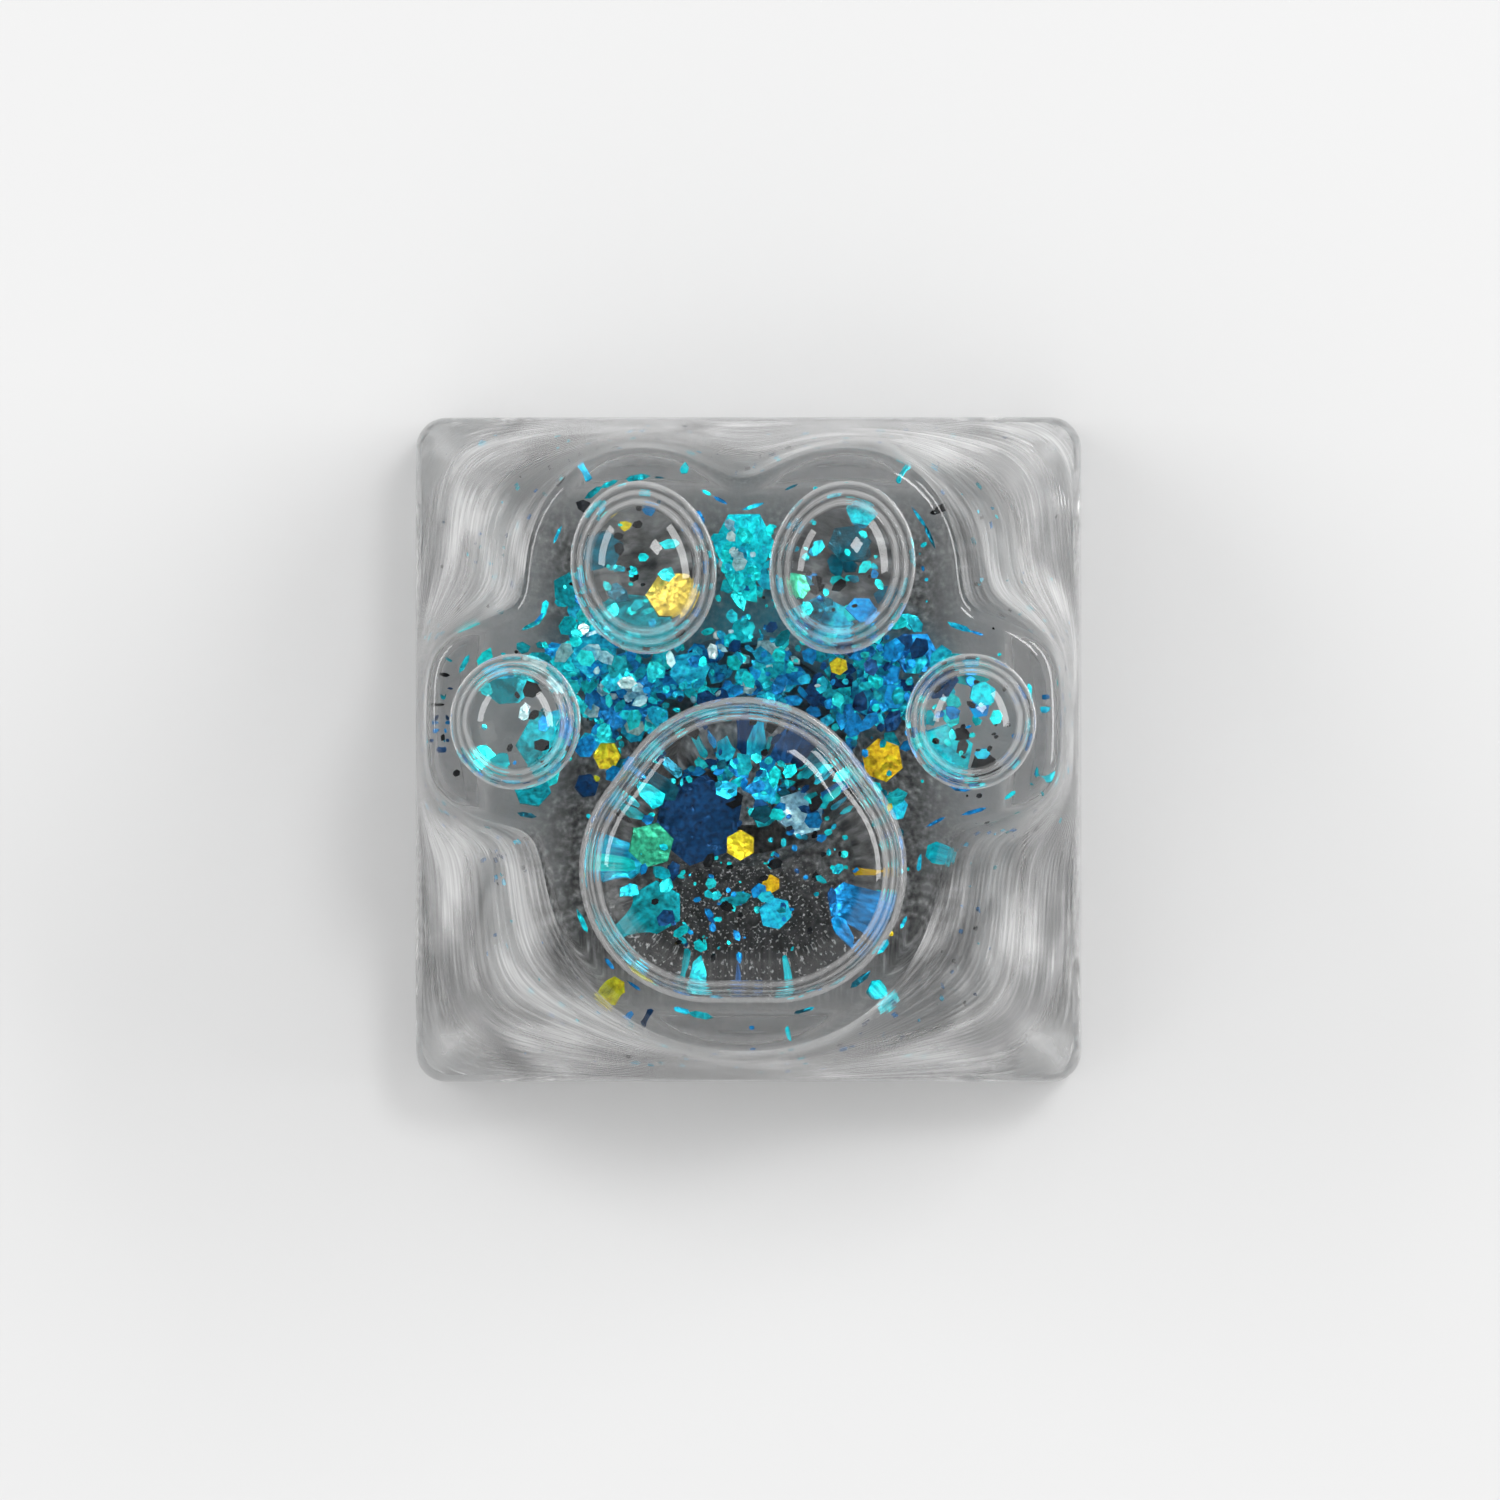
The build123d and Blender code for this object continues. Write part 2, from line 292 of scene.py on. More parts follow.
# looks of the casting, its lengths in metres
resinLook = {
    "ior": 1.5, "smearSize": 2.2 * mm, "rippleSize": 1.6 * mm, "rippleDepth": 0.004 * mm,
    "lineSpacing": 0.12 * mm, "lineDepth": 0.003 * mm, "grainSize": 0.11 * mm, "grainDepth": 0.012 * mm,
    # pattern, roughness over the smear, then clearness and shade over the pattern
    "finishes": {
        "padResin": ("swirls", (0.0, 0.02), (1.0, 1.0), (0.93, 0.99)),
        "palmResin": ("swirls", (0.0, 0.06), (1.0, 1.0), (0.88, 1.0)),
        "flankResin": ("streaks", (0.08, 0.22), (0.98, 0.56), (0.52, 1.0)),
        "bandResin": ("bands", (0.03, 0.12), (0.95, 0.80), (0.66, 1.0)),
        "skirtResin": ("swirls", (0.03, 0.12), (0.94, 0.80), (0.90, 1.0)),
        "satinResin": ("swirls", (0.10, 0.26), (0.97, 0.97), (0.93, 0.97)),
        # painted shade: the ceiling, stem and socket are darkened to stand in for the shade inside the hollow
        "paintedShadeCeiling": ("paintedShade", (0.25, 0.50), (0.2, 0.2), (0.0, 1.0)),
    },
    "swirl": {"size": 0.55 * mm, "bend": 2.5, "low": 0.40, "high": 0.66},
    "streak": {"along": 2.6 * mm, "across": 0.075 * mm, "low": 0.36, "high": 0.76, "most": 0.5},
    "cloud": {"along": 3.6 * mm, "across": 1.7 * mm, "bend": 0.6, "low": 0.34, "high": 0.66,
              "most": (-0.12, 0.66)},
    # corner: a painted highlight, a pale flare along the diagonal at each corner of the flanks
    "corner": {"low": 34 * mm ** 2, "high": 60 * mm ** 2, "size": 1.5 * mm, "bend": 1.0,
               "span": (0.3, 0.7), "stray": 0.5 * mm, "half": (-0.5 * mm, 2.0 * mm), "most": 0.85},
    "band": {"spacing": 0.27 * mm, "size": 0.8 * mm, "wobble": 1.5, "low": -1.0, "high": 0.7},
    # painted shade of the ceiling: speckle and bristles, grey levels, drift, darker heel, pale specks and
    # lighter stem
    "speckle": 0.16 * mm, "bristle": (0.10 * mm, 0.9 * mm, 1.0), "bristleY": (-4.4 * mm, -5.2 * mm),
    "paintedShade": [(0.34, 0.035), (0.47, 0.115), (0.60, 0.23), (0.73, 0.48)],
    "drift": {"size": 1.1 * mm, "bend": 3.0, "span": (0.3, 0.7), "shade": (0.35, 1.5)},
    "heel": {"y": 4.5 * mm, "half": (2.9 * mm, 1.7 * mm), "fade": (0.5, 1.3), "shade": 0.22},
    "sparkle": {"size": 0.07 * mm, "low": 0.58, "high": 0.72, "most": 0.9},
    "stem": {"half": (2.5 * mm, 3.2 * mm), "lift": 2.2},
    "settled": {"y": -2.2 * mm, "half": (5.2 * mm, 2.3 * mm), "fade": (0.35, 1.25), "size": 0.8 * mm,
                "span": (0.35, 0.65), "tint": (0.02, 0.30, 0.42, 1), "most": (0.45, 0.95)},
    # where the painted shade of the ceiling turns paler towards the walls, and how pale
    "paintedShadeEdge": (5.2 * mm, 7.0 * mm), "edgeStretch": 1.16, "edgeShade": 0.42,
}


def link(tree, a, out, b, into):
    tree.links.new(a.outputs[out], b.inputs[into])


def newMaterial(name):
    material = bpy.data.materials.new(name)
    material.use_nodes = True
    tree = material.node_tree
    return material, tree, tree.nodes["Principled BSDF"]


def addNode(tree, kind, **values):
    node = tree.nodes.new(kind)
    for key, value in values.items():
        if key in node.inputs:
            node.inputs[key].default_value = value
        else:
            setattr(node, key, value)
    return node


def addBump(tree, source, out, depth):
    bump = addNode(tree, "ShaderNodeBump", Strength=1.0, Distance=depth)
    link(tree, source, out, bump, "Height")
    return bump


def addNoise(tree, spot, sizes, detail=3.0, bend=0.0):
    stretch = addNode(tree, "ShaderNodeMapping")
    stretch.inputs["Scale"].default_value = [1 / size for size in sizes]
    link(tree, spot, "Object", stretch, "Vector")
    noise = addNode(tree, "ShaderNodeTexNoise", Scale=1.0, Detail=detail, Distortion=bend)
    link(tree, stretch, "Vector", noise, "Vector")
    return noise


def addRange(tree, source, out, low, high, toLow=0.0, toHigh=1.0):
    node = addNode(tree, "ShaderNodeMapRange")
    for socket, value in (("From Min", low), ("From Max", high), ("To Min", toLow), ("To Max", toHigh)):
        node.inputs[socket].default_value = value
    link(tree, source, out, node, "Value")
    return node


def addShades(tree, source, out, levels):
    shades = addNode(tree, "ShaderNodeValToRGB")
    stops = shades.color_ramp.elements
    while len(stops) < len(levels):
        stops.new(1.0)
    for stop, (position, level) in zip(stops, levels):
        stop.position, stop.color = position, (level, level, level, 1)
    link(tree, source, out, shades, "Fac")
    return shades


def addMath(tree, operation, a, aOut, b=None, bOut=0):
    node = addNode(tree, "ShaderNodeMath", operation=operation)
    link(tree, a, aOut, node, 0)
    if isinstance(b, (int, float)):
        node.inputs[1].default_value = b
    elif b is not None:
        link(tree, b, bOut, node, 1)
    return node


def swirls(tree, spot, place):
    swirl = resinLook["swirl"]
    noise = addNoise(tree, spot, [swirl["size"]] * 3, detail=4.0, bend=swirl["bend"])
    return addRange(tree, noise, "Fac", swirl["low"], swirl["high"])


def streaks(tree, spot, place):
    # streaks that follow the level lines, and a painted highlight: a pale flare along the diagonal at each
    # corner
    streak, cloud, corner = resinLook["streak"], resinLook["cloud"], resinLook["corner"]
    noise = addNoise(tree, spot, [streak["along"], streak["along"], streak["across"]], detail=4.0)
    lines = addRange(tree, noise, "Fac", streak["low"], streak["high"], 0.0, streak["most"])
    sizes = [cloud["along"], cloud["along"], cloud["across"]]
    broad = addNoise(tree, spot, sizes, detail=2.0, bend=cloud["bend"])
    broad = addRange(tree, broad, "Fac", cloud["low"], cloud["high"], *cloud["most"])
    lines = addMath(tree, "ADD", lines, "Result", broad, "Result")
    area = addMath(tree, "ABSOLUTE", addMath(tree, "MULTIPLY", place, "X", place, "Y"), 0)
    near = addRange(tree, area, 0, corner["low"], corner["high"])
    wide, long = addMath(tree, "ABSOLUTE", place, "X"), addMath(tree, "ABSOLUTE", place, "Y")
    off = addMath(tree, "ABSOLUTE", addMath(tree, "SUBTRACT", wide, 0, long), 0)
    stray = addNoise(tree, spot, [corner["size"]] * 3, detail=2.0, bend=corner["bend"])
    stray = addRange(tree, stray, "Fac", *corner["span"], -corner["stray"], corner["stray"])
    off = addMath(tree, "ADD", off, 0, stray, "Result")
    paintedHighlight = addRange(tree, off, 0, *corner["half"], corner["most"], 0.0)
    both = addMath(tree, "MAXIMUM", lines, 0, addMath(tree, "MULTIPLY", near, "Result", paintedHighlight, "Result"), 0)
    both.use_clamp = True
    return both


def bands(tree, spot, place):
    # wavering level lines
    band = resinLook["band"]
    noise = addNoise(tree, spot, [band["size"]] * 3, detail=2.0)
    wobble = addRange(tree, noise, "Fac", 0, 1, -band["wobble"], band["wobble"])
    phase = addMath(tree, "MULTIPLY", place, "Z", 2 * math.pi / band["spacing"])
    bent = addMath(tree, "ADD", phase, 0, wobble, "Result")
    return addRange(tree, addMath(tree, "SINE", bent, 0), 0, band["low"], band["high"])


def addOval(tree, place, oval):
    # 1 in the middle of an oval on the Y axis, fading to 0 outside it
    across = addMath(tree, "POWER", addMath(tree, "DIVIDE", place, "X", oval["half"][0]), 0, 2)
    down = addMath(tree, "DIVIDE", addMath(tree, "ADD", place, "Y", oval["y"]), 0, oval["half"][1])
    around = addMath(tree, "ADD", across, 0, addMath(tree, "POWER", down, 0, 2))
    return addRange(tree, around, 0, *oval["fade"], 1.0, 0.0)


def addSettledDust(tree, spot, place, shader):
    # the finest glitter lies on the ceiling between the pads and tints it
    dust = resinLook["settled"]
    grey = shader.inputs["Base Color"].links[0].from_node
    noise = addNoise(tree, spot, [dust["size"]] * 3, detail=4.0)
    patches = addRange(tree, noise, "Fac", *dust["span"], *dust["most"])
    share = addMath(tree, "MULTIPLY", addOval(tree, place, dust), "Result", patches, "Result")
    tinted = addNode(tree, "ShaderNodeMix", data_type="RGBA")      # colours at 6 and 7, result at 2
    link(tree, share, 0, tinted, 0)
    link(tree, grey, "Result", tinted, 6)
    tinted.inputs[7].default_value = dust["tint"]
    link(tree, tinted, 2, shader, "Base Color")


def paintedShade(tree, spot, place):
    # painted shade of the hollow: speckle, drawn out into bristles under the heel, darker under the heel with
    # pale specks there, lighter round the stem, paler towards the walls
    speckle = addNoise(tree, spot, [resinLook["speckle"]] * 3, detail=5.0)
    bristle = addNoise(tree, spot, resinLook["bristle"])
    under = addRange(tree, place, "Y", *resinLook["bristleY"])
    mixed = addNode(tree, "ShaderNodeMix", data_type="FLOAT")      # numbers at 2 and 3, result at 0
    link(tree, under, "Result", mixed, 0)
    link(tree, speckle, "Fac", mixed, 2)
    link(tree, bristle, "Fac", mixed, 3)
    shades = addShades(tree, mixed, 0, resinLook["paintedShade"])
    heel = resinLook["heel"]
    below = addOval(tree, place, heel)
    dim = addRange(tree, below, "Result", 0, 1, 1.0, heel["shade"])
    drift = resinLook["drift"]
    slow = addNoise(tree, spot, [drift["size"]] * 3, detail=4.0, bend=drift["bend"])
    slow = addRange(tree, slow, "Fac", *drift["span"], *drift["shade"])
    dim = addMath(tree, "MULTIPLY", dim, "Result", slow, "Result")
    post = resinLook["stem"]
    flat = addNode(tree, "ShaderNodeCombineXYZ")
    link(tree, place, "X", flat, "X")
    link(tree, place, "Y", flat, "Y")
    out = addNode(tree, "ShaderNodeVectorMath", operation="LENGTH")
    link(tree, flat, "Vector", out, 0)
    lift = addRange(tree, out, "Value", *post["half"], post["lift"], 1.0)
    dim = addMath(tree, "MULTIPLY", dim, 0, lift, "Result")
    shades = addMath(tree, "MULTIPLY", shades, "Color", dim)
    sparkle = resinLook["sparkle"]
    bright = addNoise(tree, spot, [sparkle["size"]] * 3)
    bright = addRange(tree, bright, "Fac", sparkle["low"], sparkle["high"], 0, sparkle["most"])
    shades = addMath(tree, "ADD", shades, 0, addMath(tree, "MULTIPLY", bright, "Result", below, "Result"))
    across = addMath(tree, "MULTIPLY", addMath(tree, "ABSOLUTE", place, "X"), 0, resinLook["edgeStretch"])
    far = addMath(tree, "MAXIMUM", across, 0, addMath(tree, "ABSOLUTE", place, "Y"))
    fade = addNode(tree, "ShaderNodeMix", data_type="FLOAT")
    link(tree, addRange(tree, far, 0, *resinLook["paintedShadeEdge"]), "Result", fade, 0)
    link(tree, shades, 0, fade, 2)
    fade.inputs[3].default_value = resinLook["edgeShade"]
    return fade


def addSpread(tree, shader, socket, source, out, ends):
    # a plain value where both ends are the same, or else one that follows the source
    if ends[0] == ends[1]:
        shader.inputs[socket].default_value = ends[0]
    else:
        link(tree, addRange(tree, source, out, 0, 1, *ends), "Result", shader, socket)


patterns = {"swirls": swirls, "streaks": streaks, "bands": bands, "paintedShade": paintedShade}


def clearResin(name):
    kind, rough, clear, shade = resinLook["finishes"][name]
    material, tree, shader = newMaterial(name)
    shader.inputs["IOR"].default_value = resinLook["ior"]
    spot = addNode(tree, "ShaderNodeTexCoord")
    place = addNode(tree, "ShaderNodeSeparateXYZ")
    link(tree, spot, "Object", place, "Vector")
    smear = addNoise(tree, spot, [resinLook["smearSize"]] * 3)
    addSpread(tree, shader, "Roughness", smear, "Fac", rough)
    pattern = patterns[kind](tree, spot, place)
    addSpread(tree, shader, "Base Color", pattern, 0, shade)
    addSpread(tree, shader, "Transmission Weight", pattern, 0, clear)
    if name == "paintedShadeCeiling":
        addSettledDust(tree, spot, place, shader)
    ripple = addNoise(tree, spot, [resinLook["rippleSize"]] * 3, detail=2.0)
    surface = addBump(tree, ripple, "Fac", resinLook["rippleDepth"])
    fine = None
    if name in ("flankResin", "bandResin"):
        # print lines of the master, level round the flanks and the pads
        phase = addMath(tree, "MULTIPLY", place, "Z", 2 * math.pi / resinLook["lineSpacing"])
        fine = addBump(tree, addMath(tree, "SINE", phase, 0), 0, resinLook["lineDepth"])
    if name in ("satinResin", "paintedShadeCeiling"):
        grain = addNoise(tree, spot, [resinLook["grainSize"]] * 3, detail=4.0)
        fine = addBump(tree, grain, "Fac", resinLook["grainDepth"])
    if fine:
        link(tree, surface, "Normal", fine, "Normal")
        surface = fine
    link(tree, surface, "Normal", shader, "Normal")
    return material


resin = {name: clearResin(name) for name in resinLook["finishes"]}


def makeCap():
    angles = sectorAngles(capForm["sectors"])
    outside, under = outerRings(angles), underRings(angles)
    flankTop = capForm["shoulderRings"]
    flankEnd = flankTop + capForm["flankRings"]
    wallEnd = capForm["wallRings"] - 1
    sheets = [wrapSheet("shoulder", outside[:flankTop + 1], resin["palmResin"]),
              wrapSheet("flank", outside[flankTop:flankEnd + 1], resin["flankResin"]),
              wrapSheet("skirt", outside[flankEnd:], resin["skirtResin"]),
              wrapSheet("hollowWall", under[:wallEnd + 1], resin["satinResin"]),
              # the ceiling, stem and socket carry the painted shade
              wrapSheet("ceiling", under[wallEnd:], resin["paintedShadeCeiling"])]
    pads = [(padRings(), padForm["bandRings"])]
    pads += [(toeRings(*toe), toeForm["bandRings"]) for toe in toeForm["pads"]]
    for rings, band in pads:
        sheets.append(wrapSheet("padBand", rings[:band + 1], resin["bandResin"]))
        sheets.append(wrapSheet("padTop", rings[band:], resin["padResin"]))
    bpy.ops.object.select_all(action="DESELECT")
    for sheet in sheets:
        sheet.select_set(True)
    bpy.context.view_layer.objects.active = sheets[0]
    bpy.ops.object.join()
    cap = bpy.context.object
    cap.name = "resinCap"
    bpy.ops.object.mode_set(mode="EDIT")
    bpy.ops.mesh.select_all(action="SELECT")
    bpy.ops.mesh.remove_doubles(threshold=mergeGap)
    bpy.ops.mesh.select_mode(type="EDGE")
    bpy.ops.mesh.select_all(action="DESELECT")
    bpy.ops.mesh.select_non_manifold()      # the palm's edge and the pads' roots
    bpy.ops.mesh.fill(use_beauty=True)
    cap.active_material_index = 0
    bpy.ops.object.material_slot_assign()
    bpy.ops.mesh.select_all(action="SELECT")
    bpy.ops.mesh.normals_make_consistent(inside=False)
    bpy.ops.mesh.select_all(action="DESELECT")
    bpy.ops.mesh.select_non_manifold()
    bpy.ops.object.mode_set(mode="OBJECT")
    openEdges = sum(edge.select for edge in cap.data.edges)
    shrinkToMetres(cap)
    bpy.ops.object.shade_smooth_by_angle(angle=math.radians(capForm["smoothAngle"]))
    print("cap:", len(cap.data.polygons), "faces, open edges", openEdges)
    return cap


resinCap = makeCap()
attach(resinCap, "root")
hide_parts("keycap")

# film colours of the glitter
filmTints = {
    "navy": (0.0, 0.050, 0.16), "royal": (0.0, 0.23, 0.58), "azure": (0.01, 0.62, 1.0),
    "cyan": (0.0, 0.80, 1.0), "teal": (0.0, 0.46, 0.54), "deepTeal": (0.0, 0.12, 0.18),
    "green": (0.03, 0.46, 0.26), "gold": (1.0, 0.72, 0.02), "orange": (1.0, 0.57, 0.01),
    "pale": (0.42, 0.76, 0.95), "black": (0.003, 0.004, 0.006), "bronze": (0.62, 0.46, 0.06),
}
filmLook = {"metallic": 0.65, "roughness": 0.24, "warpSize": 0.7 * mm, "warpDepth": 0.16 * mm,
            "dentSize": 0.13 * mm, "dentDepth": 0.02 * mm, "span": (0.25, 0.75), "uneven": (0.35, 2.0)}
flakeForm = {"thickness": 0.08, "cover": 0.3, "dustThickness": 0.03, "turn": 30}

# larger hexagons: x, y, level between the ceiling and the palm, width, tilt, heading, film
blueFlakes = {"node": "blue_flakes", "slot": "blue_glitter", "rows": [
    (-1.17, -1.91, 0.50, 2.4, 6, 20, "navy"), (-3.30, 1.54, 0.30, 2.2, 14, 80, "royal"),
    (-3.95, 2.45, 0.72, 1.3, 18, 200, "azure"), (-1.44, 2.07, 0.60, 1.1, 15, 310, "azure"),
    (4.55, 2.50, 0.50, 1.2, 20, 120, "royal"), (3.45, 1.45, 0.25, 1.4, 12, 30, "azure"),
    (3.95, -1.55, 0.60, 0.8, 25, 70, "azure"), (2.69, -4.04, 0.72, 1.1, 10, 160, "royal"),
    (0.55, -1.10, 0.95, 0.8, 22, 250, "azure"), (2.75, -0.75, 0.35, 1.1, 16, 340, "royal"),
    (0.82, -4.30, 0.65, 0.9, 24, 45, "azure"), (-0.10, -5.75, 0.60, 0.7, 35, 100, "navy"),
    (2.25, 3.65, 0.62, 1.2, 20, 270, "azure"), (5.45, 1.45, 0.95, 0.7, 28, 60, "navy"),
    (-4.15, -0.98, 0.70, 0.7, 30, 130, "navy"), (-2.95, -2.95, 0.15, 1.0, 18, 220, "azure"),
]}
tealFlakes = {"node": "teal_flakes", "slot": "teal_glitter", "rows": [
    (-2.23, -4.15, 0.70, 1.4, 12, 330, "teal"), (-2.37, -2.55, 0.88, 1.2, 9, 75, "green"),
    (1.45, -1.75, 0.42, 1.3, 26, 140, "pale"), (-3.45, 5.15, 0.85, 0.9, 20, 15, "deepTeal"),
    (-2.80, 3.65, 0.48, 1.5, 14, 290, "teal"), (2.75, 5.25, 0.80, 0.8, 8, 190, "deepTeal"),
    (3.05, 6.05, 1.08, 0.7, 12, 50, "cyan"), (1.70, 4.35, 0.95, 0.6, 24, 110, "green"),
    (0.00, 5.40, 0.45, 1.8, 10, 240, "cyan"), (-5.45, 0.35, 0.72, 1.2, 16, 300, "teal"),
    (6.25, 1.30, 1.18, 0.6, 15, 80, "cyan"), (5.60, 0.25, 0.62, 0.9, 20, 20, "cyan"),
    (-5.60, -1.05, 0.60, 1.0, 18, 170, "teal"), (5.05, -2.75, 0.55, 0.6, 30, 260, "cyan"),
    (3.55, -6.40, 0.50, 0.7, 25, 65, "cyan"), (-4.55, 4.20, 0.50, 1.0, 28, 330, "teal"),
]}
goldFlakes = {"node": "gold_flakes", "slot": "gold_glitter", "rows": [
    (-0.05, -2.55, 1.25, 0.8, 5, 90, "gold"), (0.72, -3.55, 0.85, 0.5, 14, 30, "orange"),
    (-2.45, -5.60, 0.60, 0.8, 24, 200, "gold"), (-3.40, -6.30, 0.50, 0.6, 26, 150, "gold"),
    (-3.62, -0.20, 0.55, 0.8, 18, 300, "gold"), (3.67, -0.32, 0.66, 1.2, 15, 220, "orange"),
    (2.50, 2.20, 0.70, 0.5, 20, 40, "gold"), (-2.05, 4.15, 0.92, 1.1, 18, 120, "bronze"),
]}

# fine glitter: x, y, spread each way, lowest and highest place, count, sizes, films
dustPlan = {"seed": 11, "clusters": [
    (-3.3, 1.8, 1.2, 0.7, 4.9, 5.4, 60, 0.50, 1.30, ["royal", "azure", "teal", "royal", "cyan"]),
    (3.5, 1.6, 1.0, 0.8, 4.9, 5.4, 44, 0.45, 1.20, ["royal", "azure", "teal", "navy", "cyan"]),
    (0.0, 1.9, 1.6, 0.6, 4.9, 5.4, 40, 0.45, 1.10, ["royal", "azure", "royal", "navy"]),
    (-4.6, 3.4, 0.6, 0.8, 4.9, 5.6, 22, 0.30, 0.90, ["azure", "teal", "cyan"]),
    (0.0, 5.2, 0.45, 0.7, 4.9, 5.6, 30, 0.50, 1.10, ["cyan", "cyan", "azure"]),
    (0.0, -0.9, 1.7, 0.7, 5.4, 8.0, 130, 0.24, 0.80, ["navy", "royal", "azure", "cyan", "azure", "deepTeal"]),
    (-1.3, -3.0, 1.0, 1.3, 5.4, 8.0, 70, 0.18, 0.66, ["navy", "royal", "azure", "teal", "cyan", "black"]),
    (1.7, -2.6, 0.8, 1.4, 5.4, 8.0, 70, 0.18, 0.66, ["navy", "royal", "azure", "teal", "black"]),
    (-3.5, 1.9, 1.1, 0.9, 5.4, 7.3, 170, 0.26, 0.95, ["royal", "azure", "cyan", "azure", "teal", "pale"]),
    (3.5, 1.7, 1.0, 0.9, 5.4, 7.3, 140, 0.24, 0.90, ["royal", "azure", "cyan", "navy", "teal", "royal"]),
    (-0.8, 1.9, 1.5, 0.7, 5.4, 7.3, 60, 0.22, 0.75, ["royal", "azure", "pale", "navy", "azure", "cyan"]),
    (0.0, 5.3, 0.40, 0.8, 5.6, 7.2, 60, 0.20, 0.60, ["cyan", "azure", "cyan", "pale"]),
    (-2.9, 4.3, 0.9, 0.8, 5.2, 7.9, 70, 0.12, 0.55, ["teal", "cyan", "deepTeal", "black", "azure"]),
    (2.2, 4.2, 0.9, 0.8, 5.2, 7.9, 70, 0.12, 0.55, ["azure", "cyan", "deepTeal", "black", "royal"]),
    (-5.5, 0.4, 0.6, 0.7, 5.2, 7.9, 70, 0.12, 0.50, ["teal", "cyan", "royal", "black", "teal"]),
    (5.7, 0.8, 0.6, 0.7, 5.2, 7.9, 70, 0.14, 0.55, ["cyan", "azure", "royal", "black", "cyan"]),
    (0.0, 0.0, 5.0, 5.0, 5.0, 7.3, 240, 0.07, 0.30, ["royal", "azure", "cyan", "black", "teal"]),
    (6.3, 0.7, 0.5, 0.6, 7.4, 7.9, 12, 0.12, 0.26, ["black"]),
    (0.0, 2.8, 1.2, 0.6, 5.4, 7.3, 30, 0.20, 0.65, ["azure", "teal", "pale", "cyan", "royal"]),
    (0.0, 0.1, 1.3, 0.5, 6.8, 8.2, 40, 0.22, 0.55, ["black", "navy", "deepTeal", "royal"]),
    (0.0, -0.2, 4.0, 2.5, 5.4, 7.2, 9, 0.20, 0.35, ["gold", "orange"]),
    (-2.55, -5.75, 0.1, 0.1, 7.0, 7.3, 2, 0.50, 0.70, ["gold"]),
    (0.5, 2.25, 0.9, 0.45, 4.95, 5.8, 24, 0.35, 1.00, ["royal", "azure", "teal", "pale", "azure"]),
], "keepClear": (-1.17, -1.91, 1.05, 5.8),      # over the largest hexagon: x, y, radius, lowest height
   "margin": 0.45, "web": 1.5, "play": 0.06, "cover": 0.1,
   # the brightness range of each speck is partly random tone and partly painted glints
   "tilt": (0, 35), "toneAndGlintGain": (0.8, 1.8), "slim": (0.55, 1.0), "corners": (0.62, 1.0),
   "roof": {"toeShare": 0.75, "toeLift": 0.8, "padInset": 1.4, "padDrop": 0.4},
   "flank": {"count": 420, "along": (0.15, 0.85), "depth": (0.1, 0.7), "perSize": 0.8, "sizes": (0.06, 0.32),
             "tilt": (0, 50), "slim": (0.45, 1.0), "wallHalf": 7.9, "above": 0.3,
             "films": ["royal", "azure", "cyan", "teal", "black", "navy"]},
   # edge: slivers that paint reflections of the glitter along the palm's edge
   "edge": {"count": 40, "sizes": (0.35, 0.9), "drop": 0.35, "inset": 0.35, "ahead": 0.004, "jump": 0.08,
            "tilt": (-15, 15), "slim": (0.15, 0.35), "films": ["teal", "deepTeal", "cyan", "azure", "royal"]},
   # roots: specks that paint reflections of the glitter in the pads' rings
   "roots": {"toe": 16, "pad": 44, "out": (0.75, 1.05), "inset": (-0.2, 0.7), "depth": 0.35,
             "sizes": (0.25, 0.70), "tilt": (0, 15), "slim": (0.3, 0.6),
             "films": ["cyan", "azure", "teal", "cyan", "royal"]}}


def makeHexagon():
    # one plate, 1 mm across its corners and 1 mm thick
    bpy.ops.object.select_all(action="DESELECT")
    bpy.ops.mesh.primitive_cylinder_add(vertices=6, radius=0.5, depth=1.0)
    plate = bpy.context.object
    bpy.ops.object.mode_set(mode="EDIT")
    bpy.ops.mesh.select_all(action="SELECT")
    turn = math.radians(flakeForm["turn"])
    bpy.ops.transform.rotate(value=turn, orient_axis="Z", center_override=(0, 0, 0))
    bpy.ops.object.mode_set(mode="OBJECT")
    corners = np.array([v.co for v in plate.data.vertices])
    faces = [list(p.vertices) for p in plate.data.polygons]
    bpy.data.objects.remove(plate, do_unlink=True)
    return corners, faces


hexCorners, hexFaces = makeHexagon()


def platePlace(x, y, z, width, thickness, tilt, heading, slim=1.0, cuts=None):
    turn = Matrix.Rotation(math.radians(heading), 3, "Z") @ Matrix.Rotation(math.radians(tilt), 3, "X")
    plate = hexCorners * np.array([width, width * slim, thickness])
    if cuts is not None:
        plate[:, :2] *= cuts[:, None]
    return plate @ np.array(turn).T + np.array([x, y, z])


def filmMaterial(name):
    material, tree, shader = newMaterial(name)
    tint = addNode(tree, "ShaderNodeVertexColor", layer_name="film")
    spot = addNode(tree, "ShaderNodeTexCoord")
    warp = addNoise(tree, spot, [filmLook["warpSize"]] * 3, detail=2.0)
    dents = addNoise(tree, spot, [filmLook["dentSize"]] * 3, detail=5.0)
    uneven = addNode(tree, "ShaderNodeHueSaturation")
    value = addRange(tree, dents, "Fac", *filmLook["span"], *filmLook["uneven"])
    link(tree, value, "Result", uneven, "Value")
    link(tree, tint, "Color", uneven, "Color")
    link(tree, uneven, "Color", shader, "Base Color")
    curl = addBump(tree, warp, "Fac", filmLook["warpDepth"])
    fine = addBump(tree, dents, "Fac", filmLook["dentDepth"])
    link(tree, curl, "Normal", fine, "Normal")
    link(tree, fine, "Normal", shader, "Normal")
    shader.inputs["Metallic"].default_value = filmLook["metallic"]
    shader.inputs["Roughness"].default_value = filmLook["roughness"]
    return material


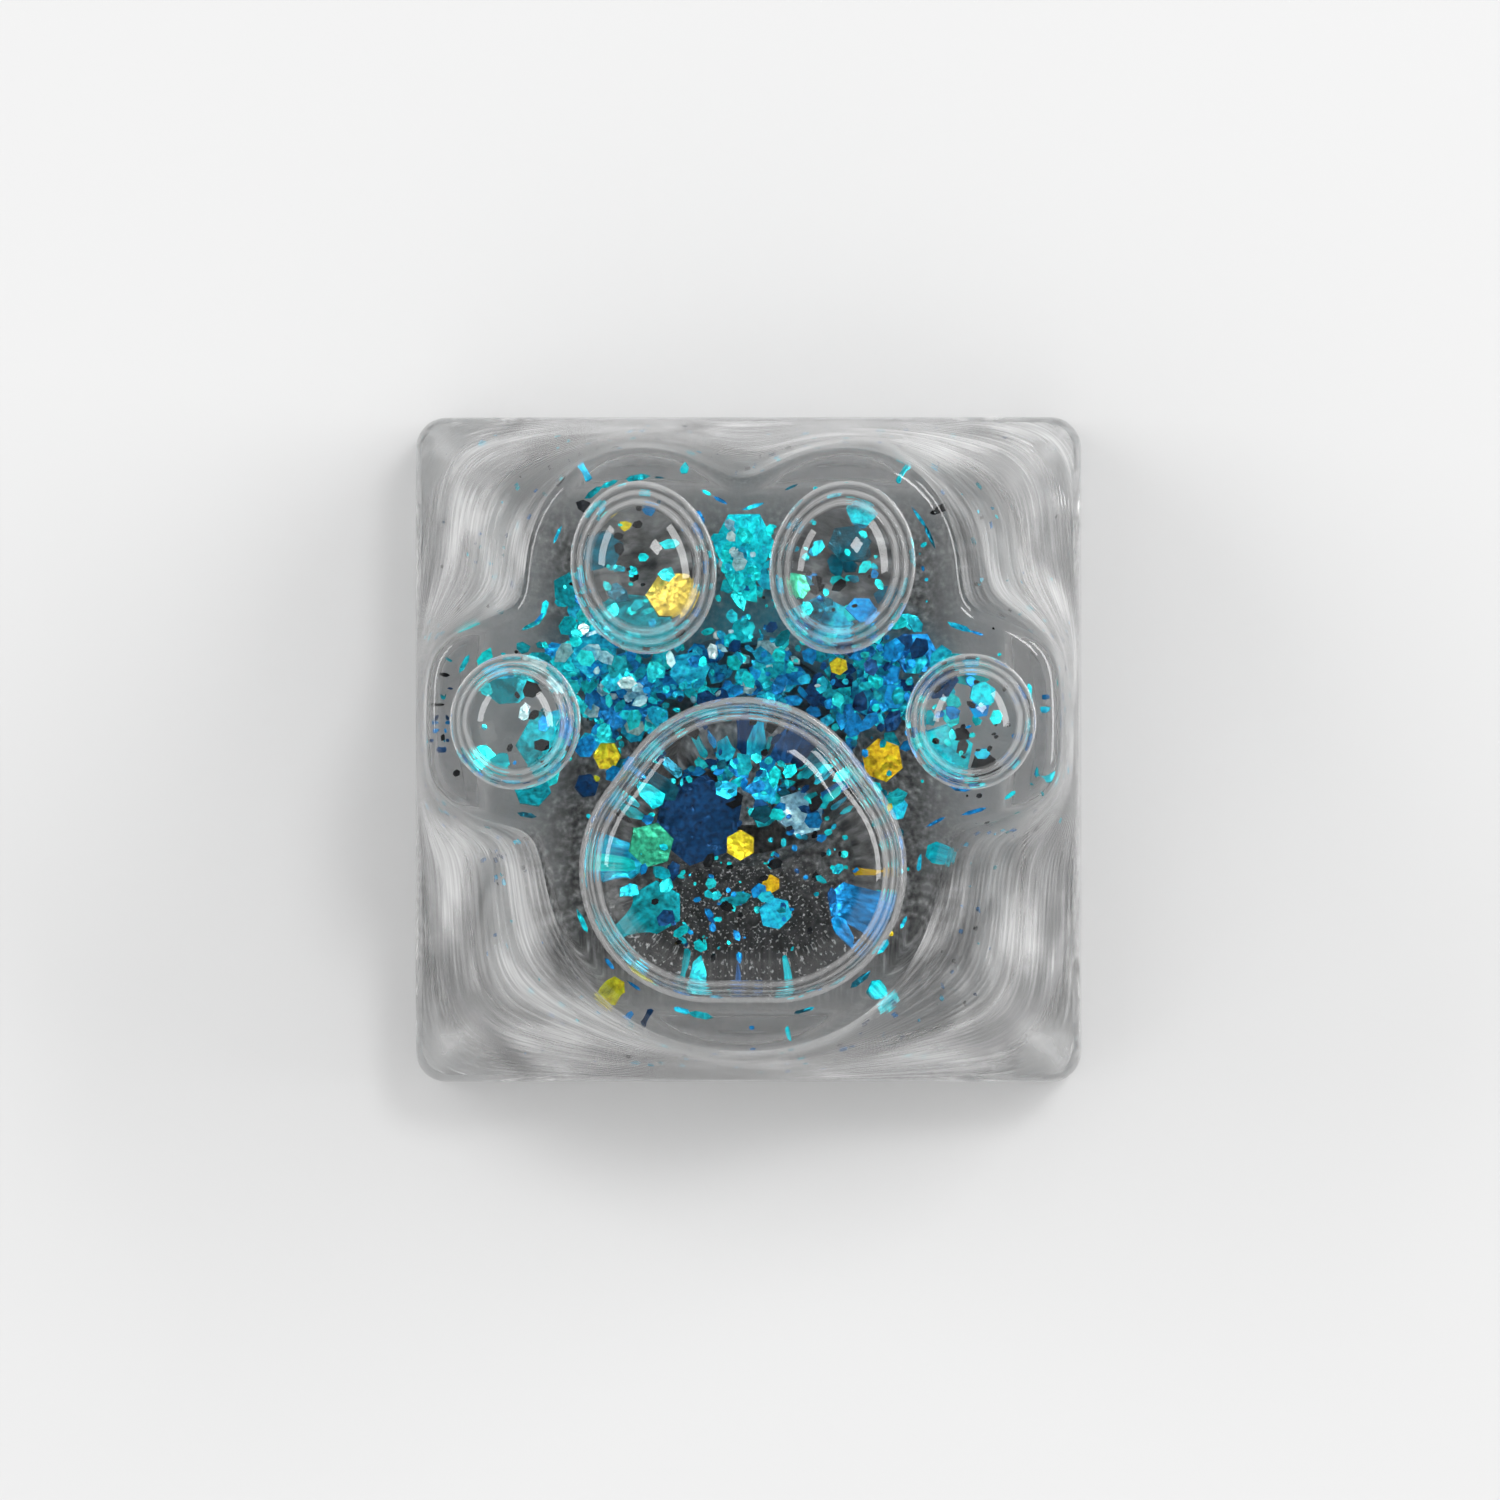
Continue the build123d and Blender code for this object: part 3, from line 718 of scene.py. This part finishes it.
def makeFlakes(name, plates, material):
    # plates: placed corners with the film of each
    corners = np.concatenate([p for p, _ in plates]) * mm
    faces = [[i + len(hexCorners) * n for i in face] for n in range(len(plates)) for face in hexFaces]
    mesh = bpy.data.meshes.new(name)
    mesh.from_pydata(corners.tolist(), [], faces)
    film = mesh.color_attributes.new("film", "FLOAT_COLOR", "CORNER")
    tints = []
    for _, tint in plates:
        tints += [(*tint, 1.0)] * sum(len(face) for face in hexFaces)
    film.data.foreach_set("color", np.array(tints, dtype=np.float32).ravel())
    mesh.materials.append(material)
    piece = bpy.data.objects.new(name, mesh)
    bpy.context.scene.collection.objects.link(piece)
    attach(piece, "root")
    return piece


def heroPlates(rows):
    low = capForm["ceiling"] + flakeForm["cover"]
    high = capForm["palmHeight"] - flakeForm["cover"]
    plates = []
    for x, y, level, width, tilt, heading, film in rows:
        z = low + level * (high - low)
        plate = platePlace(x, y, z, width, flakeForm["thickness"], tilt, heading)
        plates.append((plate, filmTints[film]))
    return plates


def shardCuts(dice):
    # top and bottom corners of a plate come in pairs
    return np.repeat([dice.uniform(*dustPlan["corners"]) for _ in range(len(hexCorners) // 2)], 2)


def shard(dice, spot, size, tilt, heading, slim, films):
    plate = platePlace(*spot, size, flakeForm["dustThickness"], tilt, heading, slim, shardCuts(dice))
    return plate, filmTints[dice.choice(films)]


def roofOver(x, y):
    # the lowest the surface can be above a speck
    roof, palm = dustPlan["roof"], capForm["palmHeight"]
    height = palm
    for cx, cy, halfWidth, _, _ in toeForm["pads"]:
        near = math.hypot(x - cx, y - cy) / halfWidth
        if near < roof["toeShare"]:
            height = palm + toeForm["rise"] * (1 - near ** 2) * roof["toeLift"]
    up = y - padForm["middleY"]
    if padReach(np.array([math.atan2(up, x)]), roof["padInset"])[0] > math.hypot(x, up):
        height = palm + padForm["rise"] - roof["padDrop"]
    return height


def rootPlates(dice):
    # longer specks that lie along the roots of the pads and colour their rings, as a painted reflection of
    # the glitter there
    roots = dustPlan["roots"]
    places = []
    for x, y, halfWidth, halfLength, _ in toeForm["pads"]:
        for _ in range(roots["toe"]):
            a, out = dice.uniform(0, 2 * math.pi), dice.uniform(*roots["out"])
            places.append((x + halfWidth * out * math.cos(a), y + halfLength * out * math.sin(a), a))
    for _ in range(roots["pad"]):
        a = dice.uniform(0, 2 * math.pi)
        out = padReach(np.array([a]), dice.uniform(*roots["inset"]))[0]
        places.append((out * math.cos(a), padForm["middleY"] + out * math.sin(a), a))
    z = capForm["palmHeight"] - roots["depth"]
    plates = []
    for x, y, a in places:
        size, tilt = dice.uniform(*roots["sizes"]), dice.uniform(*roots["tilt"])
        slim = dice.uniform(*roots["slim"])
        plates.append(shard(dice, (x, y, z), size, tilt, math.degrees(a) + 90, slim, roots["films"]))
    return plates


def edgePlates(dice):
    # slivers that lie along the edge of the palm, as a painted reflection of the glitter there
    edge = dustPlan["edge"]
    around = np.array([dice.uniform(0, 2 * math.pi) for _ in range(edge["count"])])
    z = capForm["palmHeight"] - edge["drop"]
    turns = (around, around + edge["ahead"])
    spots = [polarRing(turn, palmReach(turn) - edge["inset"], z) for turn in turns]
    plates = []
    for here, there in zip(*spots):
        if math.dist(here, there) > edge["jump"]:      # the outline runs outwards here, between two lobes
            continue
        heading = math.degrees(math.atan2(there[1] - here[1], there[0] - here[0]))
        size, tilt = dice.uniform(*edge["sizes"]), dice.uniform(*edge["tilt"])
        slim = dice.uniform(*edge["slim"])
        plates.append(shard(dice, here, size, tilt, heading, slim, edge["films"]))
    return plates


def flankPlates(dice):
    # specks behind the flanks, clear of the hollow
    sides = dustPlan["flank"]
    around = np.array([dice.uniform(0, 2 * math.pi) for _ in range(sides["count"])])
    _, _, endReach, endZ, browReach, browZ = flankLine(around)
    plates = []
    for i, angle in enumerate(around):
        c, s = math.cos(angle), math.sin(angle)
        t, size = dice.uniform(*sides["along"]), dice.uniform(*sides["sizes"])
        depth = sides["perSize"] * size + dice.uniform(*sides["depth"])
        reach = endReach[i] + (browReach[i] - endReach[i]) * t - depth
        z = endZ[i] + (browZ[i] - endZ[i]) * t
        if z < capForm["ceiling"] + sides["above"] and reach < sides["wallHalf"] / max(abs(c), abs(s)):
            continue
        tilt, heading = dice.uniform(*sides["tilt"]), dice.uniform(0, 360)
        slim = dice.uniform(*sides["slim"])
        plates.append(shard(dice, (reach * c, reach * s, z), size, tilt, heading, slim, sides["films"]))
    return plates


palmTurns = np.linspace(-np.pi, np.pi, outlineSearch["turns"] + 1)
palmEdge = palmReach(palmTurns)


def offPalm(x, y):
    # near the palm's outline or past it; the web in the middle is always on the palm
    inward = np.interp(math.atan2(y, x), palmTurns, palmEdge) - math.hypot(x, y)
    return inward < dustPlan["web"] and beyondPalm(np.float64(x), np.float64(y)) > -dustPlan["margin"]


def dustPlates():
    dice, clear = random.Random(dustPlan["seed"]), dustPlan["keepClear"]
    plates = []
    for x, y, wide, long, low, high, count, small, large, films in dustPlan["clusters"]:
        made = 0
        while made < count:
            px, py = dice.gauss(x, wide), dice.gauss(y, long)
            if offPalm(px, py):
                continue
            size = small + (large - small) * dice.random() ** 2
            tilt = dice.uniform(*dustPlan["tilt"])
            half = size / 2 * math.sin(math.radians(tilt)) + dustPlan["play"]
            bottom = max(low, capForm["ceiling"] + half)
            top = min(high, roofOver(px, py) - half - dustPlan["cover"])
            pz = dice.uniform(bottom, max(bottom, top))
            if math.hypot(px - clear[0], py - clear[1]) < clear[2] and pz > clear[3]:
                continue
            # random brightness per speck, partly painted glints
            tint = np.array(filmTints[dice.choice(films)]) * dice.uniform(*dustPlan["toneAndGlintGain"])
            heading, slim = dice.uniform(0, 360), dice.uniform(*dustPlan["slim"])
            form = (size, flakeForm["dustThickness"], tilt, heading, slim, shardCuts(dice))
            plates.append((platePlace(px, py, pz, *form), tuple(np.minimum(tint, 1.0))))
            made += 1
    return plates + rootPlates(dice) + edgePlates(dice) + flankPlates(dice)


glitterFilm = filmMaterial("glitterFilm")
for spec in (blueFlakes, tealFlakes, goldFlakes):
    piece = makeFlakes(spec["node"].replace("_f", "F"), heroPlates(spec["rows"]), glitterFilm)
    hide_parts(spec["node"])
fineGlitter = makeFlakes("fineGlitter", dustPlates(), glitterFilm)
print("glitter:", len(fineGlitter.data.polygons), "faces of fine glitter")

# floor, light and camera
studio = {
    "floor": (0.64, 0.64, 0.64, 1), "floorRoughness": 0.9, "floorSize": 1.2, "floorGap": 0.02 * mm,
    "sky": [(0.0, 0.55), (0.30, 0.90), (0.88, 1.0), (0.965, 0.10)],      # from the horizon to overhead
    # name, azimuth, elevation, distance, width, height, power
    "lamps": [("keyLamp", 50, 58, 0.50, 0.12, 0.12, 0.50), ("sideLamp", 22, 24, 0.70, 0.70, 0.17, 3.1),
              ("rimLamp", 158, 24, 0.70, 0.50, 0.15, 1.7), ("fillLamp", 200, 34, 0.60, 0.34, 0.34, 0.40)],
    "camera": (0.006, -0.0015, 0.245), "lens": 216.5, "sensor": 36.0, "clip": (0.01, 5.0),
}


def makeStudio():
    bpy.ops.object.select_all(action="DESELECT")
    bpy.ops.mesh.primitive_plane_add(size=studio["floorSize"], location=(0, 0, -studio["floorGap"]))
    floor = bpy.context.object
    floor.name = "floor"
    material, _, shader = newMaterial("paleFloor")
    shader.inputs["Base Color"].default_value = studio["floor"]
    shader.inputs["Roughness"].default_value = studio["floorRoughness"]
    floor.data.materials.append(material)
    world = bpy.data.worlds.new("softRoom")
    bpy.context.scene.world = world
    world.use_nodes = True
    tree = world.node_tree
    way = addNode(tree, "ShaderNodeTexCoord")
    rise = addNode(tree, "ShaderNodeSeparateXYZ")
    link(tree, way, "Generated", rise, "Vector")
    link(tree, addShades(tree, rise, "Z", studio["sky"]), "Color", tree.nodes["Background"], "Color")
    for name, azimuth, elevation, away, width, height, power in studio["lamps"]:
        a, e = math.radians(azimuth), math.radians(elevation)
        lamp = bpy.data.lights.new(name, "AREA")
        lamp.shape, lamp.energy = "RECTANGLE", power
        lamp.size, lamp.size_y = width, height
        holder = bpy.data.objects.new(name, lamp)
        holder.location = Vector((math.cos(a) * math.cos(e), math.sin(a) * math.cos(e), math.sin(e))) * away
        holder.rotation_mode = "QUATERNION"
        holder.rotation_quaternion = (-holder.location).to_track_quat("-Z", "Y")
        holder.visible_camera = False
        bpy.context.scene.collection.objects.link(holder)
    lens = bpy.data.cameras.new("camera")
    lens.lens, lens.sensor_width = studio["lens"], studio["sensor"]
    lens.clip_start, lens.clip_end = studio["clip"]
    camera = bpy.data.objects.new("camera", lens)
    camera.location = studio["camera"]
    back = Vector(studio["camera"]).normalized()
    right = Vector((0, 1, 0)).cross(back).normalized()      # +Y is up in the picture
    camera.rotation_euler = Matrix((right, back.cross(right), back)).transposed().to_euler()
    bpy.context.scene.collection.objects.link(camera)
    bpy.context.scene.camera = camera


makeStudio()
bpy.context.scene.view_settings.view_transform = "Standard"
print("studio ready")
